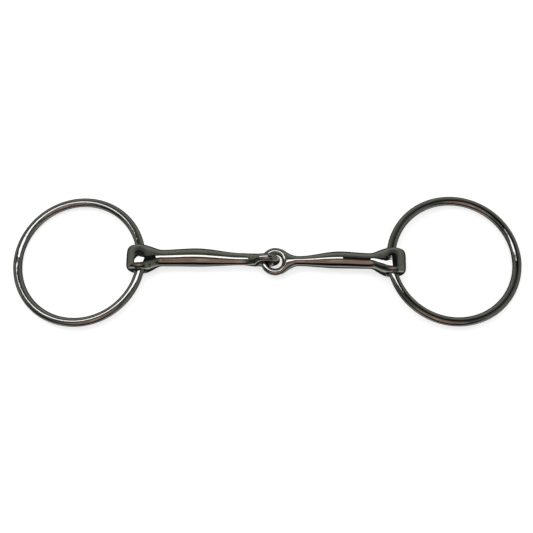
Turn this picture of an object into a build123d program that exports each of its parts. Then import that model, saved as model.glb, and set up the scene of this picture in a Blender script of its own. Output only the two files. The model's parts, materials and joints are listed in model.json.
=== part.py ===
from build123d import *
import os
from dataclasses import dataclass
from math import asin, cos, degrees, pi, sin

# A loose-ring snaffle bit, lying flat. Its mouthpiece is two cannons, linked eye through eye in the
# middle, and a loose round ring runs through a drilled boss at the outer end of each cannon.
# +X runs along the mouthpiece, Y along the two ring holes, +Z up, and the bit lies on z = 0.


@dataclass
class Cannon:
    """The sizes in which the two halves of the mouthpiece differ."""

    length: float  # from the ring hole to the centre of the eye
    eye_outside: float
    eye_bar: float
    eye_upright: bool  # or else the eye lies flat
    bow_side: int  # 1 or -1: which way the bar bows, along the cannon's own Y

    @property
    def eye_radius(self):
        return (self.eye_outside - self.eye_bar) / 2


# Rings: round wire, bent to a circle and butt welded.
RING_OUTSIDE = 76.0
RING_WIRE = 5.0
RING_SIDESTEP = 1.24  # of each ring's centre, in Y: the left one towards -Y, the right one towards +Y

# Bosses: drums about the ring holes, at the outer ends of the cannons.
HOLE_SPACING = 140.6  # in X, between the two ring holes
LEFT_LINE = -0.45  # Y of the middle of each boss and of its cannon's eye
RIGHT_LINE = -1.15
BOSS_DIAMETER = 15.4
BOSS_WIDTH = 14.4
BOSS_SQUARENESS = 5.0  # of its outer half: 2 is an ellipse, and higher is squarer
RING_HOLE = 6.8
HOLE_MOUTH_ROUNDING = 1.2

# Cannons: an oval bar that swells to a belly and tapers to the eye. Its depth is measured along the
# eye's hole, and its width across it. The bar bows sideways between the boss and the eye.
LEFT = Cannon(length=70.6, eye_outside=15.4, eye_bar=4.2, eye_upright=True, bow_side=1)
RIGHT = Cannon(length=65.0, eye_outside=16.0, eye_bar=3.9, eye_upright=False, bow_side=-1)
FLARE_START = 3.5  # where the boss's sides begin to close in on the bar, from the ring hole
ROUNDED_AT = 6.0  # where the flare has lost most of the drum's squareness
ROUNDED_SQUARENESS = 2.6
SHOULDER_AT = 12.3  # where the flare meets the bar
SHOULDER_DEPTH = 9.4
SHOULDER_WIDTH = 8.7
SHOULDER_BOW = 0.7
BELLY_SHARE = 0.45  # of the length, from the ring hole to the belly
BELLY_DEPTH = 10.4
BELLY_WIDTH = 9.4
BELLY_BOW = 1.2
NECK_BEFORE_EYE = 13.0
NECK_DEPTH = 7.0
NECK_WIDTH = 5.5
NECK_BOW = 0.4
ROOT_BEFORE_EYE = 7.0  # where the neck's depth begins to thin to the eye's bar
EYE_SHARE = 0.8  # of the eye's bar, which the neck thins to inside the eye

# Linking: how far the right eye's end has sunk inside the left eye, as they lie.
EYE_REST_DROP = 0.6

# Worked out from the sizes above.
RING_RADIUS = (RING_OUTSIDE - RING_WIRE) / 2
LYING_HEIGHT = BOSS_DIAMETER / 2
LEFT_HOLE = (-HOLE_SPACING / 2, LEFT_LINE, LYING_HEIGHT)
RIGHT_HOLE = (HOLE_SPACING / 2, RIGHT_LINE, LYING_HEIGHT)
RING_TILT = degrees(asin((LYING_HEIGHT - RING_WIRE / 2) / (2 * RING_RADIUS)))
RIGHT_PITCH = degrees(asin(EYE_REST_DROP / (RIGHT.length + RIGHT.eye_radius)))
# The wire curves inside its hole, so its middle stands in from the hole's axis by half of the curve.
WIRE_INSET = (BOSS_WIDTH / 2) ** 2 / (2 * RING_RADIUS) / 2
# How far each ring has slid round through its hole, as it lies.
LEFT_TURN = degrees(asin((RING_SIDESTEP + LEFT_LINE) / (RING_RADIUS - WIRE_INSET)))
RIGHT_TURN = degrees(asin((RING_SIDESTEP - RIGHT_LINE) / (RING_RADIUS - WIRE_INSET)))

# Fineness of the lofted bar: too few sections let it bulge between them.
HALF_POINTS = 17  # points on each half of a section's outline
BAR_SECTIONS = 41


def half_outline(x, half_y, half_z, squareness, middle_y, side):
    """The upper (side 1) or lower (side -1) half of a superellipse in the plane at x."""
    points = []
    for step in range(HALF_POINTS):
        angle = pi * step / (HALF_POINTS - 1)
        y_part = abs(cos(angle) / half_y) ** squareness
        z_part = abs(sin(angle) / half_z) ** squareness
        reach = (y_part + z_part) ** (-1 / squareness)
        points.append((x, middle_y + reach * cos(angle), side * reach * sin(angle)))
    return Spline(*points, tangents=[(0, 0, side), (0, 0, -side)])


def section(x, half_y, half_z, squareness, middle_y):
    """A closed superellipse in the plane at x."""
    upper = half_outline(x, half_y, half_z, squareness, middle_y, 1)
    lower = half_outline(x, half_y, half_z, squareness, middle_y, -1)
    return Wire([upper, lower])


def boss_end():
    """The outer half of the drum: a half outline turned about the ring hole's axis."""
    outline = half_outline(0, BOSS_WIDTH / 2, BOSS_DIAMETER / 2, BOSS_SQUARENESS, 0, 1)
    half_face = Face(Wire([outline, Line(outline @ 1, outline @ 0)]))
    return revolve(half_face, axis=Axis((0, 0, 0), (0, -1, 0)), revolution_arc=180)


def along(x, stations):
    """The value at x on a smooth curve that levels out at each (place, value) station."""
    for (start, before), (end, after) in zip(stations, stations[1:]):
        if x <= end:
            share = max(0, x - start) / (end - start)
            return before + (after - before) * share**2 * (3 - 2 * share)


def bar(half):
    """The boss's inner half, the oval bar and the shoulders of the eye, as one smooth loft."""
    belly_at = BELLY_SHARE * half.length
    neck_at = half.length - NECK_BEFORE_EYE
    root_at = half.length - ROOT_BEFORE_EYE
    depth = [(SHOULDER_AT, SHOULDER_DEPTH), (belly_at, BELLY_DEPTH), (neck_at, NECK_DEPTH)]
    depth += [(root_at, NECK_DEPTH), (half.length, EYE_SHARE * half.eye_bar)]
    width = [(SHOULDER_AT, SHOULDER_WIDTH), (belly_at, BELLY_WIDTH), (neck_at, NECK_WIDTH)]
    width += [(half.length, half.eye_outside)]
    sizes_y = [(FLARE_START, BOSS_WIDTH)] + (depth if half.eye_upright else width)
    sizes_z = [(0, BOSS_DIAMETER)] + (width if half.eye_upright else depth)
    squareness = [(0, BOSS_SQUARENESS), (ROUNDED_AT, ROUNDED_SQUARENESS)]
    squareness += [(SHOULDER_AT, 2.0), (half.length, 2.0)]
    bow = [(FLARE_START, 0), (SHOULDER_AT, SHOULDER_BOW), (belly_at, BELLY_BOW)]
    bow += [(neck_at, NECK_BOW), (root_at, 0), (half.length, 0)]
    end = half.length - half.eye_radius + half.eye_bar / 2
    sections = []
    for step in range(BAR_SECTIONS):
        x = end * step / (BAR_SECTIONS - 1)
        half_y, half_z = along(x, sizes_y) / 2, along(x, sizes_z) / 2
        sections.append(section(x, half_y, half_z, along(x, squareness), half.bow_side * along(x, bow)))
    return Solid.make_loft(sections)


def rounded_bore(radius, rounding, half_depth):
    """A cutter along Z for a hole whose two mouths are rounded."""
    cutter = Cylinder(radius, 2 * half_depth + 4 * rounding)
    lip = Torus(radius + rounding, rounding)
    for side in (-1, 1):
        mouth = Pos(0, 0, side * half_depth) * Cylinder(radius + rounding, 2 * rounding)
        cutter += mouth - Pos(0, 0, side * (half_depth - rounding)) * lip
    return cutter


def cannon(half):
    """One cannon along +X, with its ring hole at the origin and its eye centred at x = length."""
    along_y = Rot(90, 0, 0)
    eye_place = Pos(half.length, 0, 0) * (along_y if half.eye_upright else Rot(0, 0, 0))
    bar_radius = half.eye_bar / 2
    body = boss_end() + bar(half)
    body -= along_y * rounded_bore(RING_HOLE / 2, HOLE_MOUTH_ROUNDING, BOSS_WIDTH / 2)
    body -= eye_place * rounded_bore(half.eye_radius - bar_radius, bar_radius, bar_radius)
    return body + eye_place * Torus(half.eye_radius, bar_radius)


def ring(turn):
    """One lying ring, reaching down towards -X from the hole at the origin, slid round by turn degrees."""
    flat_ring = Pos(WIRE_INSET - RING_RADIUS, 0, 0) * Torus(RING_RADIUS, RING_WIRE / 2)
    return Rot(0, -RING_TILT, 0) * Rot(0, 0, turn) * flat_ring


left_place = Location(LEFT_HOLE)
right_place = Location(RIGHT_HOLE) * Rot(0, 0, 180)
parts = {
    "left_cannon": left_place * cannon(LEFT),
    "right_cannon": right_place * Rot(0, RIGHT_PITCH, 0) * cannon(RIGHT),
    "left_ring": left_place * ring(LEFT_TURN),
    "right_ring": right_place * ring(RIGHT_TURN),
}

os.makedirs("parts", exist_ok=True)
for name, solid in parts.items():
    export_step(solid, f"parts/{name}.step")
    box = solid.bounding_box()
    print(name, "from", box.min, "to", box.max, "volume", round(solid.volume, 1))
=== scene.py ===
import json
from dataclasses import dataclass
from itertools import product
from math import asin, cos, pi, radians, sin

import bpy
import numpy as np
from mathutils import Matrix, Vector


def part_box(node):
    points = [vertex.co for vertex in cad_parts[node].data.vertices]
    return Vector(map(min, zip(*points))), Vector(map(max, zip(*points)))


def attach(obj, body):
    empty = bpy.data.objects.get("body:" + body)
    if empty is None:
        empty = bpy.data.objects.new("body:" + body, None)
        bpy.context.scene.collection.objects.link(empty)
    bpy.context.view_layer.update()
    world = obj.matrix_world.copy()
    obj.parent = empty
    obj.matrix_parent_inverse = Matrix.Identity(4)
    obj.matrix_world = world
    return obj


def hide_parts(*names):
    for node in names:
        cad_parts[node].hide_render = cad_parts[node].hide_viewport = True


# A loose-ring snaffle bit with a single-jointed mouthpiece, lying flat. Metres, +Z up, the floor at Z = 0.
# Each cannon is meshed from a field, a formula for how far a point is outside the metal.
# Each ring is a torus.

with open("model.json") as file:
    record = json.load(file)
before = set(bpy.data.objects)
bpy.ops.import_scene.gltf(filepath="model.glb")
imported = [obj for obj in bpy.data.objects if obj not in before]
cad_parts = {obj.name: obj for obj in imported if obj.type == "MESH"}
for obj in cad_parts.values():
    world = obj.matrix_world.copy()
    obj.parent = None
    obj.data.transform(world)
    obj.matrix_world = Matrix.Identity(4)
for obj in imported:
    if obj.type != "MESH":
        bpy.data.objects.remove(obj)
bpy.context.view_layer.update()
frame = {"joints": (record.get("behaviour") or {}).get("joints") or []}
joints = {joint["name"]: joint for joint in frame["joints"]}

# ---- Dimensions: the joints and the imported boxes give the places, the rest are the bit's own sizes ----

LEFT_HOLE = Vector(joints["left_ring_swing"]["pos_m"])  # middle of the left boss, where its ring passes
RIGHT_HOLE = Vector(joints["right_ring_swing"]["pos_m"])
LINK = Vector(joints["mouthpiece_fold"]["pos_m"])  # middle of the right eye's end bar, inside the left eye


@dataclass
class Cannon:
    """The sizes in which the two halves of the mouthpiece differ."""

    length: float  # from the ring hole to the centre of the eye
    eye_outside: float
    eye_bar: float  # radius of the bar of the eye
    upright: bool  # whether the eye stands upright, or else lies flat
    bow_side: int  # which way the bar bows, along the cannon's own Y

    @property
    def eye_radius(self):
        return self.eye_outside / 2 - self.eye_bar


LEFT = Cannon(length=0.0706, eye_outside=0.0154, eye_bar=0.0021, upright=True, bow_side=1)
RIGHT = Cannon(length=0.0650, eye_outside=0.0160, eye_bar=0.00195, upright=False, bow_side=-1)

BOSS_DIAMETER = 2 * LEFT_HOLE.z  # the bosses stand on the floor
BOSS_WIDTH = 0.0144  # along the ring hole
BOSS_SQUARENESS = 5  # power of the superellipse of the boss's outer half
HOLE_RADIUS = 0.0034
HOLE_MOUTH = 0.0016  # how widely the mouths of the ring hole are rounded

# Stations along a cannon, from its ring hole: where the boss begins to narrow, where it has lost most of
# its squareness, and the shoulder. The belly, the neck and the root of the eye follow from the length.
FLARE_START = 0.0035
ROUNDED_AT = 0.006
ROUNDED_SQUARENESS = 2.6
SHOULDER_AT = 0.0123
BELLY_SHARE = 0.45
NECK_BEFORE_EYE = 0.013
ROOT_BEFORE_EYE = 0.007
# The bar's size along the eye's hole at the shoulder, the belly, the neck and the root
DEPTHS = (0.0094, 0.0104, 0.0070, 0.0070)
# The bar's size across the eye's hole at the shoulder, the belly and the neck
WIDTHS = (0.0087, 0.0094, 0.0055)
# How far the bar stands aside from the cannon's line, at the shoulder, the belly and the neck
BOWS = (0.0007, 0.0012, 0.0004)
EYE_SHARE = 0.8  # of the eye's bar, which the neck thins to inside the eye

# How widely the corners of a cannon's metal are rounded
EYE_END_ROUNDING = 0.0006  # where the bar ends at the far side of the eye
EYE_EDGE_ROUNDING = 0.0005  # round the hole of the eye
EYE_ROOT_ROUNDING = 0.001  # between the neck and the bar of the eye

RING_WIRE = 0.0025  # radius of the wire
ring_low, ring_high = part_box("left_ring")
RING_RADIUS = (ring_high.y - ring_low.y) / 2 - RING_WIRE  # of the wire's middle, whose full width lies in Y
RING_TURNS = 400  # mesh steps round the ring
RING_SIDES = 44  # mesh steps round the wire
WELD_SWELLING = 0.022  # of the wire's radius, as a share of it
WELD_REACH = 0.003  # of the swelling, along the wire

# How far the dull, worn metal reaches, and how dull a weld is
HOLE_WEAR_REACH = 0.0022
EYE_WEAR_REACH = 0.0016
WELD_WEAR_REACH = 0.0022
WELD_WEAR = 0.35

MESH_CELL = 0.00042
RIPPLE = 0.000022  # height of the hand-polished waves
WAVELENGTHS = (0.019, 0.013, 0.0095, 0.0075, 0.006)

# ---- Fields of the cannons ----


def along(x, stations):
    """A size that eases from each (place, size) station to the next."""
    size = np.full_like(x, stations[0][1])
    for (start, before), (end, after) in zip(stations, stations[1:]):
        part = np.clip((x - start) / (end - start), 0, 1)
        size += (after - before) * part**2 * (3 - 2 * part)
    return size


def smooth_max(a, b, width):
    """The larger of two fields, with the corner between them rounded."""
    near = np.clip(width - np.abs(a - b), 0, None) / width
    return np.maximum(a, b) + near**2 * width / 4


def smooth_min(a, b, width):
    return -smooth_max(-a, -b, width)


def ripples(points, seed):
    """Low waves left by hand polishing: a sum of sines in seeded directions."""
    random = np.random.default_rng(seed)
    height = 0
    for wavelength in WAVELENGTHS:
        direction = random.normal(size=3)
        direction /= np.linalg.norm(direction)
        phase = random.uniform(0, 2 * pi)
        height = height + wavelength * np.sin(2 * pi / wavelength * (points @ direction) + phase)
    return height * RIPPLE / WAVELENGTHS[0]


def bar_field(x, y, z, half):
    """The boss and the oval bar, whose section is a superellipse that turns into an ellipse."""
    places = [SHOULDER_AT, BELLY_SHARE * half.length, half.length - NECK_BEFORE_EYE]
    root = half.length - ROOT_BEFORE_EYE
    depths = [*zip([*places, root], DEPTHS), (half.length, 2 * EYE_SHARE * half.eye_bar)]
    widths = [*zip(places, WIDTHS), (half.length, half.eye_outside)]
    sizes_y, sizes_z = (depths, widths) if half.upright else (widths, depths)
    half_y = along(x, [(FLARE_START, BOSS_WIDTH), *sizes_y]) / 2
    half_z = along(x, [(0, BOSS_DIAMETER), *sizes_z]) / 2
    power = along(x, [(0, BOSS_SQUARENESS), (ROUNDED_AT, ROUNDED_SQUARENESS), (SHOULDER_AT, 2)])
    bow = half.bow_side * along(x, [(FLARE_START, 0), *zip(places, BOWS), (root, 0)])
    side = np.abs(y - bow) / half_y
    rise = np.hypot(z, np.minimum(x, 0)) / half_z
    size = np.maximum(side**power + rise**power, 1e-12) ** (1 / power)
    slope = np.hypot(side ** (power - 1) / half_y, rise ** (power - 1) / half_z) * size ** (1 - power)
    return (size - 1) / np.maximum(slope, 1)


def cannon_field(points, half, seed):
    """One cannon: its ring hole runs along Y at the origin, and its eye is centred at X = length."""
    x, y, z = points[..., 0], points[..., 1], points[..., 2]
    across, beside = (z, y) if half.upright else (y, z)
    from_eye = np.hypot(x - half.length, across)
    eye = np.hypot(from_eye - half.eye_radius, beside) - half.eye_bar
    eye_hole = np.maximum(from_eye - half.eye_radius, -eye)
    metal = bar_field(x, y, z, half) + ripples(points, seed)
    metal = smooth_max(metal, x - (half.length - half.eye_radius + half.eye_bar), EYE_END_ROUNDING)
    metal = smooth_max(metal, -eye_hole, EYE_EDGE_ROUNDING)
    metal = smooth_min(metal, eye, EYE_ROOT_ROUNDING)
    return smooth_max(metal, HOLE_RADIUS - np.hypot(x, z), HOLE_MOUTH)


# ---- Meshing ----


def gradient(field, points, step=2e-5):
    """Which way a field rises, at each point."""
    rise = [field(points + step * axis) - field(points - step * axis) for axis in np.eye(3)]
    return np.stack(rise, -1) / (2 * step)


def crossed_cells(inside):
    """Cells of the grid that the surface passes through, numbered, with -1 in the others."""
    nx, ny, nz = inside.shape
    corners = sum(
        inside[i : nx - 1 + i, j : ny - 1 + j, k : nz - 1 + k].astype(int)
        for i, j, k in product((0, 1), repeat=3)
    )
    crossed = (corners > 0) & (corners < 8)
    number = np.full(crossed.shape, -1)
    number[crossed] = np.arange(crossed.sum())
    return number


def grid_quads(inside, number):
    """One quad round each grid edge that goes from metal to air."""
    quads = []
    for axis in range(3):
        one, other = (axis + 1) % 3, (axis + 2) % 3
        metal = np.moveaxis(inside, (axis, one, other), (0, 1, 2))
        cells = np.moveaxis(number, (axis, one, other), (0, 1, 2))
        for leaving in (True, False):
            first, second = (metal[:-1], metal[1:]) if leaving else (metal[1:], metal[:-1])
            i, j, k = np.nonzero(first & ~second)
            ring = [cells[i, j - 1, k - 1], cells[i, j, k - 1], cells[i, j, k], cells[i, j - 1, k]]
            quads.append(np.stack(ring if leaving else ring[::-1], -1))
    return np.concatenate(quads)


def relax(points, quads):
    """Each vertex at the mean of its neighbours."""
    edges = np.concatenate([quads[:, [a, (a + 1) % 4]] for a in range(4)])
    total = np.zeros_like(points)
    np.add.at(total, edges[:, 0], points[edges[:, 1]])
    np.add.at(total, edges[:, 1], points[edges[:, 0]])
    count = np.bincount(edges.ravel(), minlength=len(points))
    return total / count[:, None]


def settle(field, points):
    """Each vertex moved onto the surface."""
    rise = gradient(field, points)
    return points - (field(points) / np.maximum((rise**2).sum(-1), 0.05))[:, None] * rise


def field_surface(field, low, high):
    """Vertices and quads of a field's surface inside a box, evened out and settled on it."""
    axes = [np.arange(low[a] - 2 * MESH_CELL, high[a] + 2 * MESH_CELL, MESH_CELL) for a in range(3)]
    inside = field(np.stack(np.meshgrid(*axes, indexing="ij"), -1)) < 0
    number = crossed_cells(inside)
    corner = np.array([axis[0] for axis in axes])
    points = corner + (np.argwhere(number >= 0) + 0.5) * MESH_CELL
    quads = grid_quads(inside, number)
    for _ in range(6):
        points = settle(field, relax(points, quads))
    for _ in range(3):
        points = settle(field, points)
    return points, quads


def add_mesh(name, points, quads, place, normals=None):
    """A smooth mesh object, with its place in its vertices."""
    mesh = bpy.data.meshes.new(name)
    mesh.from_pydata(points.tolist(), [], quads.tolist())
    mesh.polygons.foreach_set("use_smooth", np.ones(len(quads), bool))
    if normals is not None:
        mesh.normals_split_custom_set_from_vertices(normals.tolist())
    mesh.transform(place)
    piece = bpy.data.objects.new(name, mesh)
    bpy.context.scene.collection.objects.link(piece)
    return piece


def mark_wear(piece, wear):
    """How dull each vertex is, from 0 where it is polished to 1 where metal rubs on metal or dirt stays."""
    attribute = piece.data.attributes.new("wear", "FLOAT", "POINT")
    attribute.data.foreach_set("value", wear.astype(np.float32))


# ---- Materials ----

TARNISH = (0.20, 0.175, 0.14, 1)  # of the metal where it rubs or keeps dirt
PIT = (0.30, 0.27, 0.23, 1)  # of the small pits in the plating


def add_node(tree, kind, inputs=(), **settings):
    """A shader node with its settings made and its inputs set or linked."""
    node = tree.nodes.new(kind)
    for key, value in settings.items():
        setattr(node, key, value)
    for socket, value in dict(inputs).items():
        if isinstance(value, bpy.types.NodeSocket):
            tree.links.new(value, node.inputs[socket])
        else:
            node.inputs[socket].default_value = value
    return node


def noise(tree, place, scale, detail=3.0, stretch=(1, 1, 1)):
    """Noise from 0 to 1 at a scale in cycles per metre, which stretch makes finer along an axis."""
    spread = add_node(tree, "ShaderNodeMapping", {"Vector": place, "Scale": stretch})
    texture = add_node(
        tree, "ShaderNodeTexNoise", {"Vector": spread.outputs[0], "Scale": scale, "Detail": detail}
    )
    return texture.outputs["Fac"]


def remap(tree, value, low, high, to_low, to_high):
    """A value taken from one range to another and clamped there."""
    inputs = {"Value": value, "From Min": low, "From Max": high, "To Min": to_low, "To Max": to_high}
    return add_node(tree, "ShaderNodeMapRange", inputs).outputs[0]


def mixed(tree, factor, a, b):
    """Two colours mixed by a factor."""
    node = add_node(tree, "ShaderNodeMix", data_type="RGBA")
    for socket, value in ((node.inputs[0], factor), (node.inputs[6], a), (node.inputs[7], b)):
        if isinstance(value, bpy.types.NodeSocket):
            tree.links.new(value, socket)
        else:
            socket.default_value = value
    return node.outputs[2]


def sum_of(tree, a, b, operation="ADD"):
    return add_node(tree, "ShaderNodeMath", {0: a, 1: b}, operation=operation).outputs[0]


def chrome(name, bright, smoky, brushed):
    """Worn bright plating: smoky patches, fine polishing lines along brushed, and dull places by wear."""
    material = bpy.data.materials.new(name)
    material.use_nodes = True
    tree = material.node_tree
    shader = tree.nodes["Principled BSDF"]
    place = add_node(tree, "ShaderNodeTexCoord").outputs["Object"]
    wear = add_node(tree, "ShaderNodeAttribute", attribute_name="wear").outputs["Fac"]

    patches = remap(tree, noise(tree, place, 90), 0.35, 0.7, 0, 1)
    specks = remap(tree, noise(tree, place, 900, 2), 0.66, 0.74, 0, 1)
    lines = noise(tree, place, 700, 2, brushed)
    dirt = sum_of(tree, wear, remap(tree, noise(tree, place, 420, 4), 0.35, 0.65, 0.2, 1.0), "MULTIPLY")

    plating = mixed(tree, patches, bright, smoky)
    plating = mixed(tree, dirt, plating, TARNISH)
    tree.links.new(mixed(tree, specks, plating, PIT), shader.inputs["Base Color"])

    polish = remap(tree, lines, 0.3, 0.75, 0.02, 0.07)
    polish = sum_of(tree, polish, remap(tree, patches, 0, 1, 0, 0.025))
    polish = sum_of(tree, polish, remap(tree, dirt, 0, 1, 0, 0.25))
    tree.links.new(polish, shader.inputs["Roughness"])
    shader.inputs["Metallic"].default_value = 1.0

    streaks = noise(tree, place, 380, 2, brushed)
    scratches = add_node(
        tree, "ShaderNodeBump", {"Strength": 0.25, "Distance": 0.00001, "Height": lines}
    )
    dents = add_node(
        tree,
        "ShaderNodeBump",
        {"Strength": 0.6, "Distance": 0.00007, "Height": streaks, "Normal": scratches.outputs[0]},
    )
    tree.links.new(dents.outputs[0], shader.inputs["Normal"])
    return material


# ---- The bit ----


def cannon(name, half, place, seed):
    """One half of the mouthpiece."""

    def field(points):
        return cannon_field(points, half, seed)

    reach = half.eye_outside / 2
    end = half.length + reach
    points, quads = field_surface(field, (-reach, -reach, -reach), (end, reach, reach))
    normals = gradient(field, points)
    normals /= np.linalg.norm(normals, axis=1)[:, None]
    piece = add_mesh(name, points, quads, place, normals)

    x, y, z = points.T
    from_hole = np.hypot(x, z) - HOLE_RADIUS
    from_eye = np.hypot(x - half.length, z if half.upright else y) - (half.eye_radius - half.eye_bar)
    nearness = np.minimum(from_hole / HOLE_WEAR_REACH, from_eye / EYE_WEAR_REACH)
    mark_wear(piece, np.clip(1 - nearness, 0, 1))
    return piece


def ring(name, hole, centre_step, outward):
    """A loose ring of round wire, lying from its hole down to the floor, with its weld at the far side.

    Its centre stands centre_step aside from the hole in Y. Outward is -1 for the left ring and 1 for the
    right one."""
    inset = (BOSS_WIDTH / 2) ** 2 / (2 * RING_RADIUS) / 2  # the wire curves inside its hole
    turn = np.arange(RING_TURNS) * 2 * pi / RING_TURNS
    side = np.arange(RING_SIDES) * 2 * pi / RING_SIDES
    from_weld = np.minimum(np.abs(turn - pi), 2 * pi - np.abs(turn - pi)) * RING_RADIUS
    wire = RING_WIRE * (1 + WELD_SWELLING * np.exp(-((from_weld / WELD_REACH) ** 2)))
    out = RING_RADIUS + wire[:, None] * np.cos(side)
    rows = [out * np.cos(turn)[:, None] + inset - RING_RADIUS, out * np.sin(turn)[:, None]]
    points = np.stack([*rows, wire[:, None] * np.sin(side)], -1).reshape(-1, 3)
    i, j = np.meshgrid(np.arange(RING_TURNS), np.arange(RING_SIDES), indexing="ij")
    after, above = (i + 1) % RING_TURNS, (j + 1) % RING_SIDES
    here, ahead = i * RING_SIDES, after * RING_SIDES
    corners = [here + j, ahead + j, ahead + above, here + above]

    tilt = asin((hole.z - RING_WIRE) / (2 * RING_RADIUS))
    slide = asin(outward * centre_step / (RING_RADIUS - inset))
    place = Matrix.Translation(hole) @ Matrix.Rotation(0 if outward < 0 else pi, 4, "Z")
    place = place @ Matrix.Rotation(-tilt, 4, "Y") @ Matrix.Rotation(slide, 4, "Z")
    piece = add_mesh(name, points, np.stack(corners, -1).reshape(-1, 4), place)
    mark_wear(piece, np.repeat(np.exp(-((from_weld / WELD_WEAR_REACH) ** 2)) * WELD_WEAR, RING_SIDES))
    return piece


def finish_piece(piece, node, material):
    """Rides the piece on its body, in place of its CAD node."""
    piece.data.materials.append(material)
    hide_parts(node)
    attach(piece, node)


def middle_y(node):
    """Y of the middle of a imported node's box."""
    low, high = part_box(node)
    return (low.y + high.y) / 2


right_pitch = asin((RIGHT_HOLE.z - LINK.z) / (RIGHT.length + RIGHT.eye_radius))
left_place = Matrix.Translation(LEFT_HOLE)
right_place = Matrix.Translation(RIGHT_HOLE) @ Matrix.Rotation(pi, 4, "Z")
right_place = right_place @ Matrix.Rotation(right_pitch, 4, "Y")

mouthpiece_chrome = chrome("mouthpiece_chrome", (0.80, 0.80, 0.78, 1), (0.68, 0.675, 0.65, 1), (0.05, 1, 1))
ring_chrome = chrome("ring_chrome", (0.76, 0.76, 0.75, 1), (0.62, 0.62, 0.605, 1), (1, 1, 0.15))

left_cannon = cannon("left_cannon_chromed", LEFT, left_place, 7)
right_cannon = cannon("right_cannon_chromed", RIGHT, right_place, 11)
left_ring = ring("left_ring_chromed", LEFT_HOLE, middle_y("left_ring") - LEFT_HOLE.y, -1)
right_ring = ring("right_ring_chromed", RIGHT_HOLE, middle_y("right_ring") - RIGHT_HOLE.y, 1)

finish_piece(left_cannon, "left_cannon", mouthpiece_chrome)
finish_piece(right_cannon, "right_cannon", mouthpiece_chrome)
finish_piece(left_ring, "left_ring", ring_chrome)
finish_piece(right_ring, "right_ring", ring_chrome)

# ---- Studio ----

GREY = (0.125, 0.13, 0.112)
BLACK = (0.004, 0.004, 0.004)
PINK = (0.26, 0.17, 0.14)
LIGHT_GREY = (0.40, 0.41, 0.38)
PALE_OLIVE = (0.18, 0.18, 0.158)
DARK_OLIVE = (0.014, 0.014, 0.011)
SMOKY = (0.05, 0.053, 0.046)
DOME = (0.36, 0.36, 0.36, 1)  # the even light that falls on the floor
BACKDROP = (1, 1, 1, 1)  # what the camera sees past the floor
FLOOR_GLOW = 0.62  # the floor's own light, as of a light table, which keeps its shadows faint

SOFTBOX = Vector((-0.11, 0.035, 0.26))
SOFTBOX_SIZE = (0.34, 0.088)
SOFTBOX_POWER = 0.14
CLOTH = Vector((-0.05, SOFTBOX.y, SOFTBOX.z + 0.004))  # the black cloth just above the softbox
CLOTH_SIZE = (0.62, 0.145)
OVERHEAD = Vector((0.2, 0.3, 1.6))
OVERHEAD_SIZE = (1.8, 1.8)
OVERHEAD_POWER = 4.5


def direction(azimuth, elevation):
    """Unit vector towards an azimuth, counted from +X towards +Y, and an elevation, in degrees."""
    a, e = radians(azimuth), radians(elevation)
    return Vector((cos(a) * cos(e), sin(a) * cos(e), sin(e)))


# What the bright metal mirrors, painted in this order: azimuth and elevation of a patch's middle,
# how far it reaches at full strength and where it ends, in degrees, and its colour
SURROUNDINGS = [
    (90, 90, 20, 68, SMOKY),
    (90, -20, 20, 70, PALE_OLIVE),
    (-90, -65, 44, 52, LIGHT_GREY),
    (95, -72, 46, 70, DARK_OLIVE),
    (-90, 2, 15, 45, BLACK),
    (215, 12, 10, 30, DARK_OLIVE),
    (-52, 22, 6, 14, BLACK),
    (-90, 42, 24, 30, PINK),
    (-72, 37, 2, 6, DARK_OLIVE),
    (-104, 44, 2, 5, DARK_OLIVE),
    (-92, 51, 2, 6, LIGHT_GREY),
]


def surroundings():
    """The room round the bit: soft patches on an olive grey sky."""
    world = bpy.data.worlds.new("surroundings")
    world.use_nodes = True
    bpy.context.scene.world = world
    tree = world.node_tree
    towards = add_node(tree, "ShaderNodeTexCoord").outputs["Generated"]
    colour = (*GREY, 1)
    for azimuth, elevation, full, end, patch in SURROUNDINGS:
        middle = direction(azimuth, elevation)
        nearness = add_node(tree, "ShaderNodeVectorMath", {0: towards, 1: middle}, operation="DOT_PRODUCT")
        inputs = {"Value": nearness.outputs["Value"]}
        inputs |= {"From Min": cos(radians(end)), "From Max": cos(radians(full))}
        amount = add_node(tree, "ShaderNodeMapRange", inputs, interpolation_type="SMOOTHSTEP").outputs[0]
        colour = mixed(tree, amount, colour, (*patch, 1))
    ray = add_node(tree, "ShaderNodeLightPath").outputs
    colour = mixed(tree, ray["Is Diffuse Ray"], colour, DOME)
    colour = mixed(tree, ray["Is Camera Ray"], colour, BACKDROP)
    tree.links.new(colour, tree.nodes["Background"].inputs["Color"])


def area_light(name, place, target, size, power, seen=True):
    """A rectangular light that faces the target. The metal doesn't mirror one that isn't seen."""
    data = bpy.data.lights.new(name, "AREA")
    data.shape = "RECTANGLE"
    data.size, data.size_y = size
    data.energy = power
    light = bpy.data.objects.new(name, data)
    light.location = place
    light.rotation_euler = (target - place).to_track_quat("-Z", "Y").to_euler()
    light.visible_glossy = seen
    bpy.context.scene.collection.objects.link(light)


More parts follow.
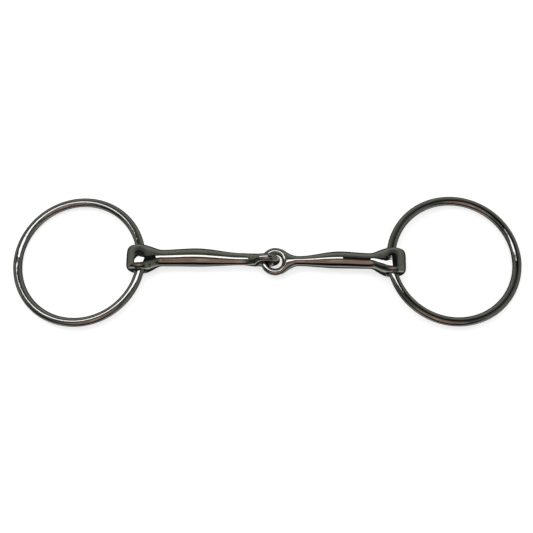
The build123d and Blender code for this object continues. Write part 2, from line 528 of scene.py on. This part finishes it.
def plain_floor():
    """A pale floor, which the metal doesn't mirror: it mirrors the surroundings instead."""
    points = np.array([(-3, -3, 0), (3, -3, 0), (3, 3, 0), (-3, 3, 0)], float)
    floor = add_mesh("floor", points, np.array([(0, 1, 2, 3)]), Matrix.Identity(4))
    material = bpy.data.materials.new("floor_paper")
    material.use_nodes = True
    tree = material.node_tree
    shader = tree.nodes["Principled BSDF"]
    place = add_node(tree, "ShaderNodeTexCoord").outputs["Object"]
    fibres = noise(tree, place, 300, 4)
    paper = mixed(tree, fibres, (0.93, 0.93, 0.93, 1), (0.95, 0.95, 0.95, 1))
    tree.links.new(paper, shader.inputs["Base Color"])
    shader.inputs["Roughness"].default_value = 0.9
    shader.inputs["Specular IOR Level"].default_value = 0.1
    shader.inputs["Emission Color"].default_value = (1, 1, 1, 1)
    shader.inputs["Emission Strength"].default_value = FLOOR_GLOW
    floor.data.materials.append(material)
    floor.visible_glossy = False


def black_frame(place, size):
    """The black cloth round the softbox, which only the metal sees."""
    half_x, half_y = size[0] / 2, size[1] / 2
    corners = [(-half_x, -half_y, 0), (half_x, -half_y, 0), (half_x, half_y, 0), (-half_x, half_y, 0)]
    cloth = add_mesh("black_frame", np.array(corners), np.array([(3, 2, 1, 0)]), Matrix.Translation(place))
    material = bpy.data.materials.new("black_cloth")
    material.use_nodes = True
    shader = material.node_tree.nodes["Principled BSDF"]
    shader.inputs["Base Color"].default_value = (*BLACK, 1)
    shader.inputs["Roughness"].default_value = 1
    cloth.data.materials.append(material)
    cloth.visible_camera = False
    cloth.visible_diffuse = False
    cloth.visible_shadow = False


def camera(target, azimuth, elevation, roll, distance, lens):
    """A level camera turned round its own axis by roll, looking at the target. Azimuth 0 looks along +Y."""
    a, e = radians(azimuth), radians(elevation)
    back = Vector((sin(a) * cos(e), -cos(a) * cos(e), sin(e)))
    right = Vector((cos(a), sin(a), 0))
    up = back.cross(right)
    across = cos(roll) * right - sin(roll) * up
    upward = sin(roll) * right + cos(roll) * up
    data = bpy.data.cameras.new("camera")
    data.sensor_width = 36
    data.lens = lens
    seat = bpy.data.objects.new("camera", data)
    seat.matrix_world = Matrix.Translation(target + distance * back) @ Matrix(
        (across, upward, back)
    ).transposed().to_4x4()
    bpy.context.scene.collection.objects.link(seat)
    bpy.context.scene.camera = seat


surroundings()
plain_floor()
black_frame(CLOTH, CLOTH_SIZE)
area_light("softbox", SOFTBOX, Vector((SOFTBOX.x, SOFTBOX.y, 0)), SOFTBOX_SIZE, SOFTBOX_POWER)
area_light("overhead", OVERHEAD, Vector((0, 0, 0)), OVERHEAD_SIZE, OVERHEAD_POWER, seen=False)
camera(
    target=Vector((0.00044, -0.00335, 0.0050)),
    azimuth=4.782,
    elevation=72.051,
    roll=radians(4.061),
    distance=0.516,
    lens=62.19,
)
bpy.context.scene.view_settings.view_transform = "Standard"
